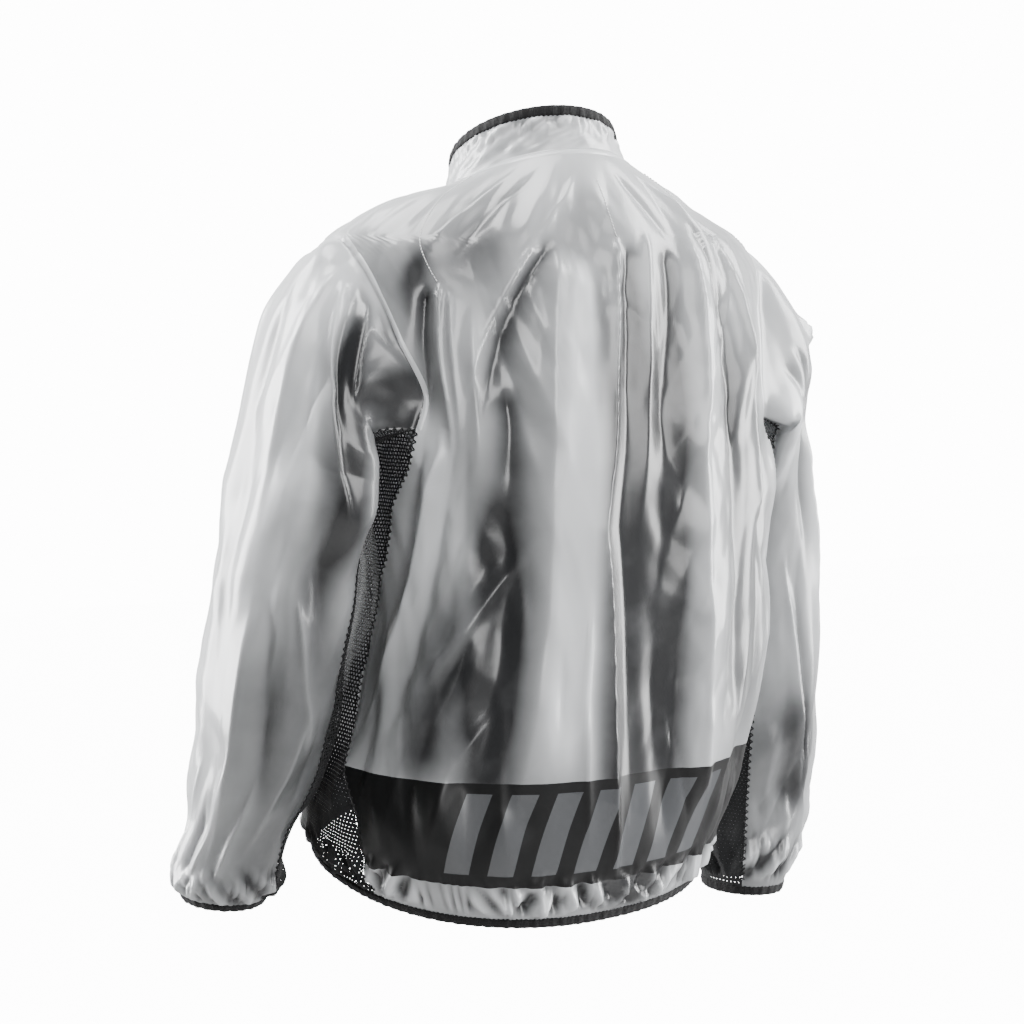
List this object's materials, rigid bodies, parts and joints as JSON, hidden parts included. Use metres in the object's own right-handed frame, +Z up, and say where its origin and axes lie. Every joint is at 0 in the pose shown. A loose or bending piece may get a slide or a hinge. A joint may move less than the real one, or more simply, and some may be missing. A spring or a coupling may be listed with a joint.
{
  "type": "raincoat",
  "caption": "Hip-length zip-front raincoat of see-through film with net sides and underarms, stand collar and elastic bound edges, filled out as if worn.",
  "frame": {"origin": "middle of the neck's base, where the wearer's neck and shoulders carry the coat", "axes": "+X towards the wearer's left, +Y towards the wearer's back, +Z up"},
  "size_m": [0.6911, 0.3581, 0.7783],
  "materials": {
    "film": "satin see-through film",
    "net": "open knitted net",
    "elastic": "ribbed elastic binding",
    "zip_tape": "woven tape",
    "zip_hardware": "satin"
  },
  "bodies": {
    "coat": {"back": "film", "front_left": "film", "front_right": "film", "sleeve_left": "film", "sleeve_right": "film", "collar": "film", "side_net_left": "net", "side_net_right": "net", "sleeve_net_left": "net", "sleeve_net_right": "net", "hem_binding": "elastic", "cuff_binding_left": "elastic", "cuff_binding_right": "elastic", "collar_binding": "elastic", "zip_tape_left": "zip_tape", "zip_tape_right": "zip_tape", "zip_slider": "zip_hardware"},
    "pull": {"zip_pull": "zip_hardware"}
  },
  "joints": [
    {"name": "pull_swing", "type": "hinge", "parent": "coat", "child": "pull", "pos_m": [0, -0.08476, -0.03047], "axis": [-1, 0, 0], "range_deg": [0, 150]}
  ]
}
